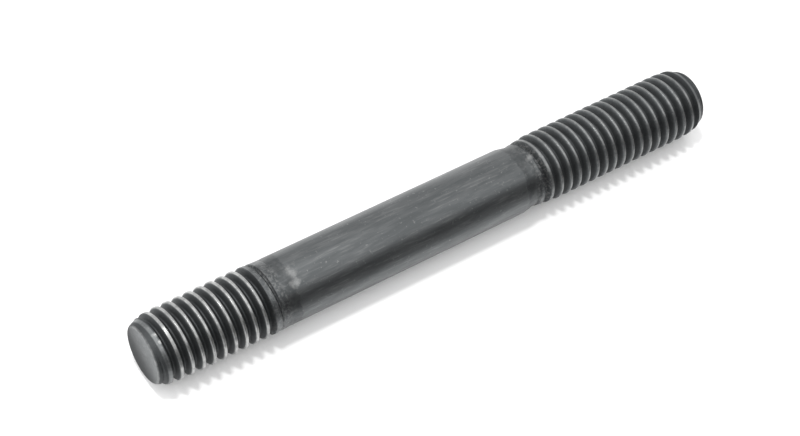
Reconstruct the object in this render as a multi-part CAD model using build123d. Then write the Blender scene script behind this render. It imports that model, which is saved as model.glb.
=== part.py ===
from build123d import *
import os
from math import radians, tan

# Double ended stud, M8 x 1.25 right hand, in one piece of steel.
# It stands on the end face of its longer, nut end: the origin is the centre of that face,
# and the stud's axis runs up +Z to the shorter, tap end.
# Lengths are in millimetres and angles in degrees.

# Lengths along the axis
overall_length = 71.0
lead_length = 3.0  # end face to the first full crest
nut_thread_length = 21.2  # end face to the last full crest
tap_thread_length = 12.2
nut_runout_length = 3.0  # where the thread fades out into the neck
tap_runout_length = 3.2
nut_shoulder_length = 1.3  # the taper from the neck up to the shank
tap_shoulder_length = 0.3

# Diameters
major_diameter = 7.8
shank_diameter = 7.55
nut_neck_diameter = 7.05  # the blank beside the shank, where the thread has faded out
tap_neck_diameter = 7.5
lead_diameter = 7.5  # where the end chamfer ends and the crests start to rise
end_face_diameter = 6.3

# Edges
end_chamfer_angle = 65  # from the end face
rim_radius = 0.25  # rounds the edge of an end face


def end_outline(thread_length, runout_length, neck_diameter, shoulder_length):
    """Half the outline of one end, as (radius, height) from its end face to the shank."""
    chamfer_length = (lead_diameter - end_face_diameter) / 2 * tan(radians(end_chamfer_angle))
    neck_height = thread_length + runout_length
    return [
        (end_face_diameter / 2, 0),
        (lead_diameter / 2, chamfer_length),
        (major_diameter / 2, lead_length),
        (major_diameter / 2, thread_length),
        (neck_diameter / 2, neck_height),
        (shank_diameter / 2, neck_height + shoulder_length),
    ]


nut_end = end_outline(
    nut_thread_length, nut_runout_length, nut_neck_diameter, nut_shoulder_length
)
tap_end = end_outline(
    tap_thread_length, tap_runout_length, tap_neck_diameter, tap_shoulder_length
)
tap_end_from_above = [(radius, overall_length - height) for radius, height in reversed(tap_end)]

with BuildPart() as stud:
    with BuildSketch(Plane.XZ) as half_section:
        with BuildLine():
            Polyline((0, 0), *nut_end, *tap_end_from_above, (0, overall_length), close=True)
        make_face()
        corners = half_section.vertices().group_by(Axis.Y)
        rims = [corners[0].sort_by(Axis.X)[-1], corners[-1].sort_by(Axis.X)[-1]]
        fillet(rims, rim_radius)
    revolve(axis=Axis.Z)

os.makedirs("parts", exist_ok=True)
export_step(stud.part, "parts/stud.step")
print("stud", round(stud.part.volume, 2), "mm3", stud.part.bounding_box().size)
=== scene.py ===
import math
from types import SimpleNamespace

import bmesh
import bpy
from mathutils import Matrix, Vector


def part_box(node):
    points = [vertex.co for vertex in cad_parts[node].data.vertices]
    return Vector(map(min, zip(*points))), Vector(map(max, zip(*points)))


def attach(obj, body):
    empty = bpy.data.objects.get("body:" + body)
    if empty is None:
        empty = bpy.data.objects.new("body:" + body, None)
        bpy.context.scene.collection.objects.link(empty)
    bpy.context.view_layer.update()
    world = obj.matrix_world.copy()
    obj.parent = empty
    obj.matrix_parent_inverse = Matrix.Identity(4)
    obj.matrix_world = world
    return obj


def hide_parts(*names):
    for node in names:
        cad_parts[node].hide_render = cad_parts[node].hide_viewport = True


bl_info = {
    "name": "Double ended stud",
    "version": (1, 0, 0),
    "blender": (4, 5, 0),
    "location": "View3D > Sidebar > Stud",
    "description": "Models an oxide-blackened steel stud with a thread on each end, and its stage",
    "category": "Object",
}

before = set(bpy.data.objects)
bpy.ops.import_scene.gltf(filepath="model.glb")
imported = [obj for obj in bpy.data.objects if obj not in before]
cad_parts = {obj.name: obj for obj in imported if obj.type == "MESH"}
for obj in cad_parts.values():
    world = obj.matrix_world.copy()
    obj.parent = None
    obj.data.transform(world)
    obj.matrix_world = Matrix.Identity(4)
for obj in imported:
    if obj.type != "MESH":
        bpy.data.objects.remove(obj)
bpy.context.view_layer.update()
STUD_LOW, STUD_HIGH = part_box("stud")
STUD_LENGTH = STUD_HIGH.z - STUD_LOW.z
CREST_RADIUS = (STUD_HIGH.x - STUD_LOW.x) / 2

MM = 0.001
FULL_TURN = 2 * math.pi
FLANK_SLOPE = math.tan(math.radians(30))  # a flank leans 30 degrees from square to the axis
WELD = 0.0002 * MM  # vertices closer than this are one
SEAM_WELD = 5 * WELD  # the same where a turned outline meets itself


# ---------------------------------------------------------------- sizes and colours


def length(name, description, default):
    """A length, in metres."""
    return bpy.props.FloatProperty(
        name=name, description=description, default=default, min=0.0, precision=6,
        subtype="DISTANCE", unit="LENGTH",
    )


def colour(name, description, default):
    """A colour, as linear red, green and blue."""
    return bpy.props.FloatVectorProperty(
        name=name, description=description, default=default, min=0.0, max=1.0, size=3,
        subtype="COLOR",
    )


def share(name, description, default):
    """A share between 0 and 1."""
    return bpy.props.FloatProperty(
        name=name, description=description, default=default, min=0.0, max=1.0, subtype="FACTOR"
    )


def level(name, description, default):
    """A brightness from 0 up."""
    return bpy.props.FloatProperty(name=name, description=description, default=default, min=0.0)


def angle(name, description, degrees):
    """An angle, given in degrees."""
    return bpy.props.FloatProperty(
        name=name, description=description, default=math.radians(degrees),
        subtype="ANGLE", unit="ROTATION",
    )


class StudSizes(bpy.types.PropertyGroup):
    """Sizes of the stud: of the thread, of what both ends share, and of each end."""

    pitch: length("Pitch", "Height from one crest to the next", 1.25 * MM)
    crest_width: length("Crest width", "Width of the flat on top of the thread", 0.21 * MM)
    crest_rounding: length("Crest rounding", "Radius on each edge of the crest", 0.05 * MM)
    root_rounding: length("Root rounding", "Radius in the bottom of the groove", 0.18 * MM)
    shank_radius: length("Shank radius", "Radius of the plain middle", 3.775 * MM)
    end_face_radius: length("End face radius", "Radius of the flat on each end", 3.15 * MM)
    rim_rounding: length("Rim rounding", "Radius that rounds the edge of an end face", 0.25 * MM)
    chamfer_angle: angle("Chamfer angle", "Angle of the chamfer from an end face", 65.0)
    lead_radius: length("Lead radius", "Radius where the chamfer ends", 3.75 * MM)
    lead: length("Lead", "From an end face to the first full crest", 3.0 * MM)

    nut_thread: length("Nut thread", "From the nut end to the last full crest", 21.2 * MM)
    nut_runout: length("Nut run-out", "Where the nut thread fades out", 3.0 * MM)
    nut_neck_radius: length("Nut neck radius", "Radius where the nut thread ends", 3.525 * MM)
    nut_shoulder: length("Nut shoulder", "From that neck to the shank", 1.3 * MM)
    nut_crest_height: length("Nut crest", "Height of a crest on the front, -Y side", 23.555 * MM)

    tap_thread: length("Tap thread", "From the tap end to the last full crest", 12.2 * MM)
    tap_runout: length("Tap run-out", "Where the tap thread fades out", 3.2 * MM)
    tap_neck_radius: length("Tap neck radius", "Radius where the tap thread ends", 3.75 * MM)
    tap_shoulder: length("Tap shoulder", "From that neck to the shank", 0.3 * MM)
    tap_crest_height: length("Tap crest", "Height of a crest on the front, -Y side", 68.809 * MM)

    steps: bpy.props.IntProperty(
        name="Steps", description="Facets in one turn of the thread", default=72, min=24, max=128
    )


class StudFinish(bpy.types.PropertyGroup):
    """Colours and strengths of the oxide coat, of the wear on it and of the painted shade in the
    grooves.
    """

    oxide: colour("Oxide", "Colour of the oxide coat", (0.111, 0.118, 0.121))
    thin_oxide: colour("Thin oxide", "Where the coat is thinner", (0.15, 0.157, 0.16))
    # Thick oxide is also the colour of the painted shade in the grooves and on the end faces.
    thick_oxide_and_shade: colour("Thick oxide", "Colour of the coat in the grooves", (0.05, 0.053, 0.055))
    scratched_oxide: colour("Scratched oxide", "Specks and scratches", (0.24, 0.245, 0.245))
    bare_steel: colour("Bare steel", "Where the coat has worn away", (0.66, 0.66, 0.65))
    # Groove coat sets how dark the painted shade in the grooves is.
    groove_shade_strength: share("Groove coat", "How much of the thick coat lies in the grooves", 0.8)
    nut_wear: share("Nut wear", "How much the nut thread's crests are worn", 0.26)
    tap_wear: share("Tap wear", "How much the tap thread's crests are worn", 0.62)
    roughness: share("Roughness", "Roughness of the coat", 0.4)


class StudioStage(bpy.types.PropertyGroup):
    """Colours of the sheets round the lying stud, and the brightness of its lights."""

    floor: colour("Floor", "Colour of the floor", (0.95, 0.95, 0.95))
    floor_gloss: share("Floor gloss", "How much the floor mirrors", 0.09)
    card: colour("Card", "Colour of the dark card at the side", (0.12, 0.12, 0.12))
    mat: colour("Mat", "Colour of the mat that the underside mirrors", (0.24, 0.24, 0.24))
    up_angle: angle("Up side", "Side of the stud turned up, round from the front to +X", 30.0)
    sky: level("Sky", "Brightness of the white tent all round", 1.0)
    end_light: level("End light", "Brightness of the light beyond the tap end", 1.0)
    key_light: level("Key light", "Light on the floor from the lamp overhead", 0.4)
    under_light: level("Under light", "Radiance of the glow that lights the underside", 0.4)
    soft_light: level("Soft light", "Brightness of the softbox in front, over the tent's", 0.45)


# ---------------------------------------------------------------- hand tools


def deselect_all():
    """Closes a piece that is open in edit mode, and deselects every object."""
    if bpy.context.mode != "OBJECT":
        bpy.ops.object.mode_set(mode="OBJECT")
    bpy.ops.object.select_all(action="DESELECT")


def select_only(piece):
    """Selects one piece and makes it active."""
    deselect_all()
    piece.select_set(True)
    bpy.context.view_layer.objects.active = piece


def edit(piece):
    """Opens one piece in edit mode with nothing selected."""
    select_only(piece)
    bpy.ops.object.mode_set(mode="EDIT")
    bpy.ops.mesh.select_mode(type="VERT")
    bpy.ops.mesh.select_all(action="DESELECT")


def select_points(piece, wanted):
    """Selects the vertices of the open piece whose place answers to wanted."""
    bpy.ops.mesh.select_all(action="DESELECT")
    mesh = bmesh.from_edit_mesh(piece.data)
    for point in mesh.verts:
        point.select = wanted(point.co)
    mesh.select_flush_mode()
    bmesh.update_edit_mesh(piece.data)
    if not any(point.select for point in mesh.verts):
        raise RuntimeError(f"{piece.name}: nothing to select")


def draw_outline(name, outline):
    """A line of edges on the front half-plane, drawn through (radius, height) points."""
    points = [Vector((0, -radius, height)) for radius, height in outline]
    deselect_all()
    bpy.ops.mesh.primitive_plane_add(size=MM, location=points[0])
    piece = bpy.context.object
    piece.name = name
    bpy.ops.object.transform_apply(location=True)
    edit(piece)
    bpy.ops.mesh.select_all(action="SELECT")
    bpy.ops.mesh.merge(type="CENTER")
    for here, there in zip(points, points[1:]):
        bpy.ops.mesh.extrude_vertices_move(TRANSFORM_OT_translate={"value": there - here})
    bpy.ops.object.mode_set(mode="OBJECT")
    return piece


def round_corners(piece, wanted, distance, facets):
    """Rounds the corners of an outline that answer to wanted, from a distance before each."""
    edit(piece)
    select_points(piece, wanted)
    bpy.ops.mesh.bevel(
        offset_type="OFFSET", offset=distance, segments=facets, affect="VERTICES"
    )
    bpy.ops.object.mode_set(mode="OBJECT")


def face_outward():
    """Turns every face of the open piece outward."""
    bpy.ops.mesh.select_all(action="SELECT")
    bpy.ops.mesh.normals_make_consistent(inside=False)


def weld(piece):
    """Makes one vertex of those that meet, and faces the surface outward."""
    edit(piece)
    bpy.ops.mesh.select_all(action="SELECT")
    bpy.ops.mesh.remove_doubles(threshold=WELD)
    face_outward()
    bpy.ops.object.mode_set(mode="OBJECT")


def apply_modifier(piece, modifier):
    """Makes what a modifier does part of the piece's own mesh."""
    select_only(piece)
    bpy.ops.object.modifier_apply(modifier=modifier.name)


def turn(piece, steps, rise=0.0, turns=1):
    """Turns an outline about Z, with a rise for a thread."""
    screw = piece.modifiers.new("Turn", "SCREW")
    screw.axis = "Z"
    screw.angle = FULL_TURN
    screw.screw_offset = rise
    screw.iterations = turns
    screw.steps = screw.render_steps = steps
    screw.use_merge_vertices = True
    screw.merge_threshold = SEAM_WELD
    apply_modifier(piece, screw)
    weld(piece)


def cut_level(piece, height, keep_above):
    """Cuts the piece level at a height and closes the cut."""
    edit(piece)
    bpy.ops.mesh.select_all(action="SELECT")
    bpy.ops.mesh.bisect(
        plane_co=(0, 0, height), plane_no=(0, 0, -1 if keep_above else 1),
        use_fill=True, clear_outer=True, threshold=WELD,
    )
    face_outward()
    bpy.ops.object.mode_set(mode="OBJECT")


def combine(piece, other, operation):
    """Joins another solid to the piece, or keeps what the two share, and clears the other away."""
    modifier = piece.modifiers.new(operation.title(), "BOOLEAN")
    modifier.operation = operation
    modifier.solver = "MANIFOLD"
    modifier.object = other
    apply_modifier(piece, modifier)
    if not piece.data.polygons:
        raise RuntimeError(f"{other.name}: the two solids don't meet")
    bpy.data.objects.remove(other)


# ---------------------------------------------------------------- the stud

# Where the grooves grow shallow, and by what share of its radius the thread there is drawn
# outward. The crests that this lifts are trimmed off again.
END_FADE = 2.2 * MM  # from an end face
END_LIFT = 0.055
NUT_FADE_START, NUT_FADE_STOP = 0.9 * MM, 0.1 * MM  # before the neck
NUT_LIFT = 0.13
TAP_FADE_START, TAP_FADE_STOP = 2.5 * MM, 1.0 * MM
TAP_LIFT = 0.19

CORE_RADIUS = 2.8 * MM
CORE_INSET = MM  # from an end face
MARGIN = 0.3 * MM  # how far a solid reaches past the one that it joins or that trims it
CLEARANCE = 0.05 * MM  # how far past the crests a trimming cone is carried

ROOT_FACETS, CREST_FACETS, RIM_FACETS = 5, 3, 4
SMOOTH_ANGLE = math.radians(32)  # sharper edges than this stay sharp


def neck_heights(sizes):
    """From each end face to the neck where its thread has faded out: nut end, tap end."""
    return sizes.nut_thread + sizes.nut_runout, sizes.tap_thread + sizes.tap_runout


def thread(name, sizes, crest_height, low, high):
    """A closed bar of thread from low to high, with a crest on its front at crest_height."""
    half_crest = sizes.crest_width / 2
    half_flank = (sizes.pitch / 2 - half_crest) / 2
    sharp_root = CREST_RADIUS - 2 * half_flank / FLANK_SLOPE
    mid_flank = (CREST_RADIUS + sharp_root) / 2
    spare_turns = 2
    crest = crest_height - sizes.pitch * (
        math.ceil((crest_height - low) / sizes.pitch) + spare_turns
    )
    root = crest - sizes.pitch / 2
    bar = draw_outline(name, [
        (mid_flank, root - half_flank),
        (sharp_root, root),
        (CREST_RADIUS, crest - half_crest),
        (CREST_RADIUS, crest + half_crest),
        (mid_flank, root - half_flank + sizes.pitch),
    ])
    round_corners(
        bar, lambda point: abs(point.z - root) < WELD,
        sizes.root_rounding / FLANK_SLOPE, ROOT_FACETS,
    )
    round_corners(
        bar, lambda point: abs(point.y + CREST_RADIUS) < WELD,
        sizes.crest_rounding * FLANK_SLOPE, CREST_FACETS,
    )
    turns = math.ceil((high - low) / sizes.pitch) + 2 * spare_turns
    turn(bar, sizes.steps, sizes.pitch, turns)
    cut_level(bar, low, keep_above=True)
    cut_level(bar, high, keep_above=False)
    return bar


def lift_groove(bar, start, stop, growth):
    """Draws the bar outward, evenly from nothing at start to a share of its radius at stop."""
    heights = [point.co.z for point in bar.data.vertices]
    low, high = min(heights), max(heights)
    deselect_all()
    bpy.ops.object.empty_add(location=(0, 0, start))
    origin = bpy.context.object
    taper = bar.modifiers.new("Taper", "SIMPLE_DEFORM")
    taper.deform_method = "TAPER"
    taper.deform_axis = "Z"
    taper.origin = origin
    taper.factor = math.copysign(growth, stop - start)
    taper.limits = [(end - low) / (high - low) for end in sorted((start, stop))]
    apply_modifier(bar, taper)
    bpy.data.objects.remove(origin)


def model_nut_bar(sizes, neck):
    """The nut end's thread."""
    bar = thread("nut_bar", sizes, sizes.nut_crest_height, -MARGIN, neck + 2 * MARGIN)
    lift_groove(bar, END_FADE, 0.0, END_LIFT)
    lift_groove(bar, neck - NUT_FADE_START, neck - NUT_FADE_STOP, NUT_LIFT)
    return bar


def model_tap_bar(sizes, neck):
    """The tap end's thread."""
    top = STUD_LENGTH
    bar = thread(
        "tap_bar", sizes, sizes.tap_crest_height, top - neck - 2 * MARGIN, top + MARGIN
    )
    lift_groove(bar, top - END_FADE, top, END_LIFT)
    lift_groove(bar, top - neck + TAP_FADE_START, top - neck + TAP_FADE_STOP, TAP_LIFT)
    return bar


def model_core(sizes, nut_neck, tap_neck):
    """The core, which lies hidden inside the threads and is wider than the shank between them."""
    top = STUD_LENGTH
    wide = sizes.shank_radius + MARGIN
    core = draw_outline("core", [
        (0, CORE_INSET),
        (CORE_RADIUS, CORE_INSET),
        (CORE_RADIUS, nut_neck),
        (wide, nut_neck + MARGIN),
        (wide, top - tap_neck - MARGIN),
        (CORE_RADIUS, top - tap_neck),
        (CORE_RADIUS, top - CORE_INSET),
        (0, top - CORE_INSET),
    ])
    turn(core, sizes.steps)
    return core


def clear_of_crest(near, far):
    """Carries the line between two (radius, height) points on until it is clear of the crests."""
    clear_radius = CREST_RADIUS + CLEARANCE
    share_on = (clear_radius - near[0]) / (far[0] - near[0])
    return clear_radius, near[1] + (far[1] - near[1]) * share_on


def end_outline(sizes, thread_length, neck, neck_radius, shoulder):
    """One end of the envelope, as (radius, height) points from its end face to the shank."""
    chamfer = (sizes.lead_radius - sizes.end_face_radius) * math.tan(sizes.chamfer_angle)
    lead_start = (sizes.lead_radius, chamfer)
    thread_end = (neck_radius, neck)
    return [
        (0, 0),
        (sizes.end_face_radius, 0),
        lead_start,
        clear_of_crest(lead_start, (CREST_RADIUS, sizes.lead)),
        clear_of_crest(thread_end, (CREST_RADIUS, thread_length)),
        thread_end,
        (sizes.shank_radius, neck + shoulder),
    ]


def model_envelope(sizes, nut_neck, tap_neck):
    """The envelope, which trims the crests at the ends and the run-outs, and gives the shank."""
    nut_end = end_outline(
        sizes, sizes.nut_thread, nut_neck, sizes.nut_neck_radius, sizes.nut_shoulder
    )
    tap_end = end_outline(
        sizes, sizes.tap_thread, tap_neck, sizes.tap_neck_radius, sizes.tap_shoulder
    )
    tap_end_from_above = [(radius, STUD_LENGTH - height) for radius, height in reversed(tap_end)]
    envelope = draw_outline("envelope", nut_end + tap_end_from_above)
    round_corners(
        envelope, lambda point: abs(point.y + sizes.end_face_radius) < WELD,
        sizes.rim_rounding * math.tan(sizes.chamfer_angle / 2), RIM_FACETS,
    )
    turn(envelope, 2 * sizes.steps)
    return envelope


def model_threaded_stud(sizes):
    """The whole stud: both threads on the core, trimmed to the envelope."""
    nut_neck, tap_neck = neck_heights(sizes)
    nut_bar = model_nut_bar(sizes, nut_neck)
    tap_bar = model_tap_bar(sizes, tap_neck)
    stud = model_core(sizes, nut_neck, tap_neck)
    envelope = model_envelope(sizes, nut_neck, tap_neck)
    combine(stud, nut_bar, "UNION")
    combine(stud, tap_bar, "UNION")
    combine(stud, envelope, "INTERSECT")
    weld(stud)
    stud.name = stud.data.name = "threaded_stud"
    select_only(stud)
    bpy.ops.object.shade_smooth_by_angle(angle=SMOOTH_ANGLE)
    return stud


# ---------------------------------------------------------------- nodes


def node(tree, kind, **settings):
    """Adds a node with its settings."""
    made = tree.nodes.new(kind)
    for name, value in settings.items():
        setattr(made, name, value)
    return made


def put(tree, socket, value):
    """Links a socket to another, or writes a plain value on it."""
    if isinstance(value, bpy.types.NodeSocket):
        tree.links.new(value, socket)
    else:
        socket.default_value = value


def math_node(tree, operation, *values):
    """One sum on sockets or plain values."""
    made = node(tree, "ShaderNodeMath", operation=operation)
    for socket, value in zip(made.inputs, values):
        put(tree, socket, value)
    return made.outputs[0]


def product(tree, *factors):
    """All the factors multiplied."""
    result = factors[0]
    for factor in factors[1:]:
        result = math_node(tree, "MULTIPLY", result, factor)
    return result


def greatest(tree, *values):
    """The greatest of the values."""
    result = values[0]
    for value in values[1:]:
        result = math_node(tree, "MAXIMUM", result, value)
    return result


def ramp(tree, value, low, high):
    """Rises smoothly from 0 to 1 as the value goes from low to high."""
    made = node(tree, "ShaderNodeMapRange", interpolation_type="SMOOTHSTEP")
    for socket, given in zip(made.inputs, (value, low, high)):
        put(tree, socket, given)
    return made.outputs[0]


def between(tree, mask, low, high):
    """Goes evenly from low to high as the mask goes from 0 to 1."""
    return math_node(tree, "MULTIPLY_ADD", mask, high - low, low)


def shift(tree, value, mask, amount):
    """Adds to the value an amount times the mask."""
    return math_node(tree, "MULTIPLY_ADD", mask, amount, value)


def blend(tree, mask, first, second):
    """Goes from the first colour to the second as the mask goes from 0 to 1."""
    made = node(tree, "ShaderNodeMix", data_type="RGBA")
    factor, colours = made.inputs[0], made.inputs[6:8]
    put(tree, factor, mask)
    for socket, given in zip(colours, (first, second)):
        put(tree, socket, given)
    return made.outputs[2]


def noise(tree, place, scale, detail, roughness, stretch=(1, 1, 1)):
    """Noise with scale features in a millimetre, drawn out where stretch is under 1."""
    mapping = node(tree, "ShaderNodeMapping")
    put(tree, mapping.inputs["Vector"], place)
    put(tree, mapping.inputs["Scale"], Vector(stretch) / MM)
    made = node(tree, "ShaderNodeTexNoise")
    put(tree, made.inputs["Vector"], mapping.outputs[0])
    put(tree, made.inputs["Scale"], scale)
    put(tree, made.inputs["Detail"], detail)
    put(tree, made.inputs["Roughness"], roughness)
    return made.outputs["Fac"]


def rgba(colour_value):
    """A colour for a socket, opaque."""
    return (*colour_value, 1.0)


# ---------------------------------------------------------------- the finish

# Worn patches beside the shank and on the tap end's rim, as
# (height in mm, angle round from the front in degrees, spread in mm, how worn)
WORN_PATCHES = (
    (54.3, 20, 1.1, 0.3),
    (54.4, -2, 1.0, 0.32),
    (70.0, 20, 0.5, 0.6),
    (69.9, 8, 0.4, 0.5),
    (23.75, 22, 0.7, 0.3),
    (54.4, 150, 1.2, 0.3),
    (54.3, -120, 1.0, 0.25),
    (23.8, -140, 0.9, 0.25),
)


def stud_places(tree, sizes):
    """Where a point of the stud lies, and the noise there, for the masks to read."""
    place = node(tree, "ShaderNodeTexCoord").outputs["Object"]
    split = node(tree, "ShaderNodeSeparateXYZ")
    put(tree, split.inputs[0], place)
    x, y, z = split.outputs
    squares = math_node(tree, "ADD", product(tree, x, x), product(tree, y, y))
    on_tap_side = math_node(tree, "GREATER_THAN", z, STUD_LENGTH / 2)
    from_end = math_node(tree, "MINIMUM", z, math_node(tree, "SUBTRACT", STUD_LENGTH, z))

    # A crest climbs one pitch in each turn round the axis, from its height on the front.
    crest_height = between(tree, on_tap_side, sizes.nut_crest_height, sizes.tap_crest_height)
    climb = math_node(tree, "SUBTRACT", z, crest_height)
    around = math_node(tree, "ARCTAN2", x, product(tree, y, -1.0))
    turns = math_node(
        tree, "SUBTRACT",
        math_node(tree, "DIVIDE", climb, sizes.pitch),
        math_node(tree, "DIVIDE", around, FULL_TURN),
    )
    turns_off_crest = math_node(tree, "PINGPONG", turns, 0.5)

    neck = between(tree, on_tap_side, *neck_heights(sizes))
    past_neck = math_node(tree, "SUBTRACT", from_end, neck)
    tap_fades_early = 1.5 * MM  # its last turn is too shallow for the grooves' painted shade
    blotch = noise(tree, place, scale=1.3, detail=3.0, roughness=0.6)
    return SimpleNamespace(
        place=place,
        y=y,
        radius=math_node(tree, "SQRT", squares),
        on_tap_side=on_tap_side,  # 1 on the tap end's half, 0 on the nut end's
        from_end=from_end,  # down from the nearer end face
        sides=ramp(tree, from_end, 0.03 * MM, 0.1 * MM),  # 0 on the end faces, 1 past them
        off_crest=product(tree, turns_off_crest, sizes.pitch),  # from the nearest crest
        past_neck=past_neck,  # on from the neck toward the middle
        past_thread=shift(tree, past_neck, on_tap_side, tap_fades_early),
        streak=noise(tree, place, scale=1.2, detail=4.0, roughness=0.65, stretch=(1, 1, 0.15)),
        blotch=blotch,
        broken=ramp(tree, blotch, 0.35, 0.65),
    )


def scratch_mask(tree, at):
    """Fine scratches along the stud, where the coat is streaked thin."""
    fine = noise(tree, at.place, scale=4.5, detail=2.0, roughness=0.6, stretch=(1, 1, 0.09))
    strength = 0.55
    return product(
        tree, ramp(tree, fine, 0.5, 0.72), ramp(tree, at.streak, 0.35, 0.6), strength
    )


def speck_mask(tree, at):
    """Small pale specks all over."""
    fine = noise(tree, at.place, scale=3.6, detail=1.0, roughness=0.5)
    strength = 0.8
    return product(tree, ramp(tree, fine, 0.66, 0.8), strength)


def groove_shade_mask(tree, at, strength):
    """Painted shade in the grooves, narrower where the tap thread's last groove fades out."""
    flank = ramp(tree, at.off_crest, 0.1 * MM, 0.27 * MM)
    threaded = ramp(tree, at.past_thread, 0.0, -0.8 * MM)
    full_groove_shade = product(tree, flank, threaded, at.sides, strength)
    root = ramp(tree, at.off_crest, 0.42 * MM, 0.5 * MM)
    before_neck = ramp(tree, at.past_neck, -1.0 * MM, -1.3 * MM)
    last_groove_shade = product(tree, root, before_neck, at.on_tap_side, at.sides, strength)
    return greatest(tree, full_groove_shade, last_groove_shade)


def neck_mask(tree, at):
    """The thick coat beside the shank, a band with uneven edges where the threads fade out."""
    cloud = noise(tree, at.place, scale=0.5, detail=4.0, roughness=0.6)
    uneven = shift(tree, at.past_neck, cloud, 1.2 * MM)
    uneven = shift(tree, uneven, at.blotch, 0.8 * MM)
    strength = between(tree, at.on_tap_side, 0.5, 0.55)
    mottled = between(tree, ramp(tree, at.blotch, 0.65, 0.35), 0.5, 1.1)
    return product(
        tree, ramp(tree, uneven, -0.6 * MM, 0.4 * MM), ramp(tree, uneven, 2.25 * MM, 1.95 * MM),
        strength, mottled,
    )


def end_face_shade_mask(tree, at):
    """Painted shade on the end faces, darker toward the back, which lies toward the floor: it
    stands in for the shadowed floor that they mirror.
    """
    near_face = ramp(tree, at.from_end, 0.3 * MM, 0.1 * MM)
    toward_back = ramp(tree, at.y, -2.6 * MM, 2.4 * MM)
    return product(tree, near_face, toward_back)


def crest_wear(tree, at, finish):
    """Wear on the crests, wider on the tap end, that fades in and out with the thread."""
    off_worn = shift(tree, at.off_crest, at.on_tap_side, -0.06 * MM)
    return product(
        tree,
        ramp(tree, off_worn, 0.15 * MM, 0.07 * MM),
        ramp(tree, at.past_thread, -0.5 * MM, -1.8 * MM),
        at.sides,
        between(tree, at.on_tap_side, finish.nut_wear, finish.tap_wear),
        between(tree, ramp(tree, at.from_end, MM, 2.1 * MM), 0.12, 1.0),
        between(tree, at.broken, 0.5, 1.0),
    )


def rim_wear_and_highlight(tree, at):
    """Wear on the front of the rims of the end faces, partly real wear and partly a painted
    highlight on their lit, upper side.
    """
    return product(
        tree,
        ramp(tree, at.radius, 2.9 * MM, 3.0 * MM),
        ramp(tree, at.from_end, 0.2 * MM, 0.1 * MM),
        ramp(tree, at.y, MM, -2 * MM),
        between(tree, at.broken, 0.05, 0.2),
    )


def runout_wear(tree, at):
    """Mottled wear on the run-outs, where the threads fade out."""
    mottle = noise(tree, at.place, scale=3.0, detail=2.0, roughness=0.7)
    strength = 0.14
    return product(
        tree,
        ramp(tree, at.past_neck, -2.4 * MM, -1.8 * MM),
        ramp(tree, at.past_neck, 0.2 * MM, -0.6 * MM),
        ramp(tree, mottle, 0.45, 0.65),
        strength,
    )


def patch_wear(tree, at, radius, height, degrees, spread, strength):
    """A worn patch at a height and an angle from the front, with an edge broken by noise."""
    turned_to = math.radians(degrees)
    middle = Vector((radius * math.sin(turned_to), -radius * math.cos(turned_to), height))
    gap = node(tree, "ShaderNodeVectorMath", operation="DISTANCE")
    put(tree, gap.inputs[0], at.place)
    put(tree, gap.inputs[1], middle)
    uneven = shift(tree, gap.outputs["Value"], at.blotch, 2 * spread)
    return product(tree, ramp(tree, uneven, 1.8 * spread, 0.9 * spread), strength)


def steel_material(finish, sizes):
    """Steel with an oxide coat worn through on the crests, with painted shade in the grooves and
    on the end faces, and a painted highlight on the rims.
    """
    material = bpy.data.materials.new("black_oxide_steel")
    material.use_nodes = True
    tree = material.node_tree
    shader = tree.nodes["Principled BSDF"]
    at = stud_places(tree, sizes)
    scratched = scratch_mask(tree, at)
    # Painted shade in the grooves.
    groove_shade = groove_shade_mask(tree, at, finish.groove_shade_strength)
    # Painted shade on the end faces.
    end_face_shade = end_face_shade_mask(tree, at)
    # Wear on the crests, run-outs and patches, and the rims' wear with its painted highlight.
    wear_and_highlight = greatest(
        tree, crest_wear(tree, at, finish), rim_wear_and_highlight(tree, at), runout_wear(tree, at),
        *(
            patch_wear(tree, at, sizes.shank_radius, height * MM, degrees, spread * MM, strength)
            for height, degrees, spread, strength in WORN_PATCHES
        ),
    )

    streaked = ramp(tree, at.streak, 0.3, 0.7)
    colour_here = blend(tree, streaked, rgba(finish.oxide), rgba(finish.thin_oxide))
    for mask, shade in (
        (scratched, finish.scratched_oxide),
        (speck_mask(tree, at), finish.scratched_oxide),
        # painted shade in the grooves
        (groove_shade, finish.thick_oxide_and_shade),
        (neck_mask(tree, at), finish.thick_oxide_and_shade),
        # painted shade on the end faces
        (end_face_shade, finish.thick_oxide_and_shade),
        # wear, and the painted highlight on the rims
        (wear_and_highlight, finish.bare_steel),
    ):
        colour_here = blend(tree, mask, colour_here, rgba(shade))
    put(tree, shader.inputs["Base Color"], colour_here)
    shader.inputs["Metallic"].default_value = 1.0

    grain = noise(tree, at.place, scale=6.0, detail=3.0, roughness=0.7)
    grain_strength = 0.06
    rougher_in_grooves = 0.25
    rougher_where_worn = -0.1
    rough = between(
        tree, grain, finish.roughness - grain_strength, finish.roughness + grain_strength
    )
    rough = shift(tree, rough, groove_shade, rougher_in_grooves)
    rough = shift(tree, rough, wear_and_highlight, rougher_where_worn)
    put(tree, shader.inputs["Roughness"], rough)
    # The painted shade on the end faces also dulls their sheen, more toward the back.
    dulled_sheen = 0.55
    put(tree, shader.inputs["Specular Tint"], between(tree, end_face_shade, 1.0, dulled_sheen))

    bump = node(tree, "ShaderNodeBump")
    bump.inputs["Strength"].default_value = 0.25
    bump.inputs["Distance"].default_value = 0.02 * MM
    put(tree, bump.inputs["Height"], math_node(tree, "ADD", grain, scratched))
    put(tree, shader.inputs["Normal"], bump.outputs[0])
    return material


# ---------------------------------------------------------------- the stage

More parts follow.
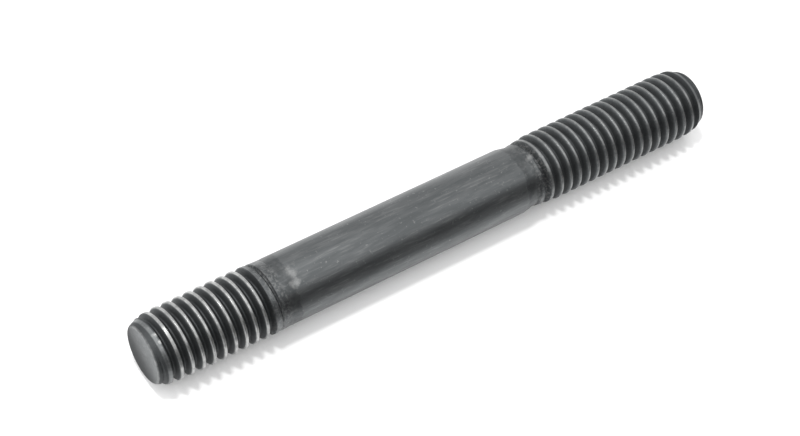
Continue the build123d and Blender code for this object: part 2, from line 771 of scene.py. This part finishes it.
# The stud stands in its frame, so the stage is turned round it until it lies on the floor with
# its tap end toward the camera. Each light shines on its middle, from an angle off its up side.
FLOOR_SIDE = 4.0
SIDE_SHEET_LENGTH = 1.2
CARD_HEIGHT, CARD_ASIDE = 48 * MM, 60 * MM
MAT_WIDTH, MAT_ASIDE, MAT_ABOVE_FLOOR = 49 * MM, 35.5 * MM, 0.2 * MM
GLOW_WIDTH, GLOW_ASIDE, GLOW_ABOVE_FLOOR = 7 * MM, -1.5 * MM, 0.05 * MM
GLOSS_ROUGHNESS = 0.12

KEY_DISTANCE, KEY_SIDE = 0.6, 0.065
KEY_BEHIND, KEY_TO_TAP_END = math.radians(5.5), math.radians(10)
END_LIGHT_DISTANCE, END_LIGHT_WIDTH, END_LIGHT_DEPTH = 0.5, 0.8, 0.5
END_LIGHT_ANGLE = math.radians(50)
SOFTBOX_DISTANCE, SOFTBOX_WIDTH, SOFTBOX_DEPTH = 0.5, 1.2, 0.26
SOFTBOX_ANGLE = math.radians(30)

CAMERA_PLACE = (0, -187.344 * MM, 125.683 * MM)
CAMERA_ANGLES = (-42.627, 55.232, -138.694)  # in degrees, about X, Y and Z
CAMERA_LENS, CAMERA_SENSOR = 87.4, 36.0  # in mm
CAMERA_CLIP = 10 * MM


def mixed(tree, mask, first, second):
    """Goes from the first shader to the second as the mask goes from 0 to 1."""
    made = node(tree, "ShaderNodeMixShader")
    for socket, value in zip(made.inputs, (mask, first, second)):
        put(tree, socket, value)
    return made.outputs[0]


def stage_material(name, colour_value, gloss=0.0, glow=0.0, clear_behind=False):
    """A matt or glowing stage surface, that may have some gloss and be clear from behind."""
    material = bpy.data.materials.new(name)
    material.use_nodes = True
    tree = material.node_tree
    tree.nodes.clear()
    output = node(tree, "ShaderNodeOutputMaterial")
    if glow:
        plain = node(tree, "ShaderNodeEmission")
        plain.inputs["Strength"].default_value = glow
    else:
        plain = node(tree, "ShaderNodeBsdfDiffuse")
    put(tree, plain.inputs["Color"], rgba(colour_value))
    surface = plain.outputs[0]
    if gloss:
        shine = node(tree, "ShaderNodeBsdfGlossy")
        shine.inputs["Roughness"].default_value = GLOSS_ROUGHNESS
        surface = mixed(tree, gloss, surface, shine.outputs[0])
    if clear_behind:
        behind = node(tree, "ShaderNodeNewGeometry").outputs["Backfacing"]
        clear = node(tree, "ShaderNodeBsdfTransparent").outputs[0]
        surface = mixed(tree, behind, surface, clear)
    put(tree, output.inputs["Surface"], surface)
    return material


def turned(facing, across):
    """The rotation that turns local Z to face a direction, with local X across it."""
    return Matrix((across, facing.cross(across), facing)).transposed().to_euler()


def stage_sheet(name, middle, facing, across, width, depth, material):
    """A flat sheet that faces a direction, with its width across it."""
    deselect_all()
    bpy.ops.mesh.primitive_plane_add(
        size=1.0, location=middle, rotation=turned(facing, across)
    )
    sheet = bpy.context.object
    sheet.name = name
    sheet.scale = (width, depth, 1)
    bpy.ops.object.transform_apply(location=True, rotation=True, scale=True)
    sheet.data.materials.append(material)
    return sheet


def reflected_sheet(*sheet_values):
    """A stage sheet that only reflections see."""
    sheet = stage_sheet(*sheet_values)
    sheet.visible_camera = sheet.visible_diffuse = sheet.visible_shadow = False


def area_lamp(name, middle, toward, across, distance, width, depth, radiance):
    """A lamp that shines on the middle from a direction, with its width across it."""
    deselect_all()
    bpy.ops.object.light_add(
        type="AREA", location=middle + toward * distance, rotation=turned(toward, across)
    )
    lamp = bpy.context.object
    lamp.name = name
    lamp.data.shape = "RECTANGLE"
    lamp.data.size, lamp.data.size_y = width, depth
    lamp.data.energy = radiance * math.pi * width * depth


def lay_sheets(stage, middle, up, aside):
    """Lays the floor, and at the stud's side and under it the sheets that it mirrors."""
    floor_level = middle - up * CREST_RADIUS
    stage_sheet(
        "floor", floor_level, up, aside, FLOOR_SIDE, FLOOR_SIDE,
        stage_material("pale_floor", stage.floor, stage.floor_gloss, clear_behind=True),
    )
    reflected_sheet(
        "dark_card", floor_level + aside * CARD_ASIDE + up * (CARD_HEIGHT / 2), -aside, up,
        CARD_HEIGHT, SIDE_SHEET_LENGTH, stage_material("dark_card", stage.card),
    )
    reflected_sheet(
        "grey_mat", floor_level + aside * MAT_ASIDE + up * MAT_ABOVE_FLOOR, up, aside,
        MAT_WIDTH, SIDE_SHEET_LENGTH, stage_material("grey_mat", stage.mat, clear_behind=True),
    )
    reflected_sheet(
        "under_glow", floor_level + aside * GLOW_ASIDE + up * GLOW_ABOVE_FLOOR, up, aside,
        GLOW_WIDTH, STUD_LENGTH, stage_material("under_glow", (1, 1, 1), glow=stage.under_light),
    )


def set_lights(stage, middle, up, aside, along):
    """Sets the white tent all round, the lamp overhead and two softer lights."""
    world = bpy.data.worlds.new("white_tent")
    world.use_nodes = True
    bpy.context.scene.world = world
    background = world.node_tree.nodes["Background"]
    background.inputs["Color"].default_value = (1, 1, 1, 1)
    background.inputs["Strength"].default_value = stage.sky

    over = up * math.cos(KEY_BEHIND) - aside * math.sin(KEY_BEHIND)
    key_radiance = stage.key_light * math.pi * (KEY_DISTANCE / KEY_SIDE) ** 2
    area_lamp(
        "key_lamp", middle, over * math.cos(KEY_TO_TAP_END) + along * math.sin(KEY_TO_TAP_END),
        over.cross(along), KEY_DISTANCE, KEY_SIDE, KEY_SIDE, key_radiance,
    )
    area_lamp(
        "end_light", middle, up * math.cos(END_LIGHT_ANGLE) + along * math.sin(END_LIGHT_ANGLE),
        aside, END_LIGHT_DISTANCE, END_LIGHT_WIDTH, END_LIGHT_DEPTH, stage.end_light,
    )
    area_lamp(
        "softbox", middle, up * math.cos(SOFTBOX_ANGLE) + aside * math.sin(SOFTBOX_ANGLE),
        along, SOFTBOX_DISTANCE, SOFTBOX_WIDTH, SOFTBOX_DEPTH, stage.soft_light,
    )


def set_camera():
    """Sets the camera toward the tap end, from above its front."""
    bpy.ops.object.camera_add(
        location=CAMERA_PLACE, rotation=[math.radians(degrees) for degrees in CAMERA_ANGLES]
    )
    camera = bpy.context.object
    camera.name = "camera"
    camera.data.sensor_width = CAMERA_SENSOR
    camera.data.lens = CAMERA_LENS
    camera.data.clip_start = CAMERA_CLIP
    bpy.context.scene.camera = camera
    bpy.context.scene.view_settings.view_transform = "Standard"


def set_stage(stage):
    """Sets the sheets, the lights and the camera round the stud."""
    up = Vector((math.sin(stage.up_angle), -math.cos(stage.up_angle), 0))
    aside = Vector((-math.cos(stage.up_angle), -math.sin(stage.up_angle), 0))
    along = Vector((0, 0, 1))
    middle = Vector((0, 0, STUD_LENGTH / 2))
    lay_sheets(stage, middle, up, aside)
    set_lights(stage, middle, up, aside, along)
    set_camera()


# ---------------------------------------------------------------- operators and panel


class STUD_OT_model(bpy.types.Operator):
    """Model the stud with both threads and give it its oxide finish"""

    bl_idname = "stud.model"
    bl_label = "Model the stud"
    bl_options = {"REGISTER", "UNDO"}

    def execute(self, context):
        scene = context.scene
        stud = model_threaded_stud(scene.stud_sizes)
        stud.data.materials.clear()
        stud.data.materials.append(steel_material(scene.stud_finish, scene.stud_sizes))
        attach(stud, "root")
        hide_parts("stud")
        return {"FINISHED"}


class STUD_OT_stage(bpy.types.Operator):
    """Set the floor, the light and the camera"""

    bl_idname = "stud.stage"
    bl_label = "Set the stage"
    bl_options = {"REGISTER", "UNDO"}

    def execute(self, context):
        set_stage(context.scene.stud_stage)
        return {"FINISHED"}


class STUD_PT_sidebar(bpy.types.Panel):
    """Sizes, finish and stage of the stud"""

    bl_idname = "STUD_PT_sidebar"
    bl_label = "Double ended stud"
    bl_space_type = "VIEW_3D"
    bl_region_type = "UI"
    bl_category = "Stud"

    def draw(self, context):
        scene = context.scene
        for group, operator in (
            (scene.stud_sizes, None),
            (scene.stud_finish, STUD_OT_model.bl_idname),
            (scene.stud_stage, STUD_OT_stage.bl_idname),
        ):
            box = self.layout.box()
            for name in group.__annotations__:
                box.prop(group, name)
            if operator:
                box.operator(operator)


CLASSES = (StudSizes, StudFinish, StudioStage, STUD_OT_model, STUD_OT_stage, STUD_PT_sidebar)


def register():
    for made in CLASSES:
        bpy.utils.register_class(made)
    bpy.types.Scene.stud_sizes = bpy.props.PointerProperty(type=StudSizes)
    bpy.types.Scene.stud_finish = bpy.props.PointerProperty(type=StudFinish)
    bpy.types.Scene.stud_stage = bpy.props.PointerProperty(type=StudioStage)


def unregister():
    del bpy.types.Scene.stud_stage, bpy.types.Scene.stud_finish, bpy.types.Scene.stud_sizes
    for made in reversed(CLASSES):
        bpy.utils.unregister_class(made)


def main():
    """Builds the stud and its stage."""
    register()
    bpy.ops.stud.model()
    bpy.ops.stud.stage()


if __name__ == "__main__":
    main()
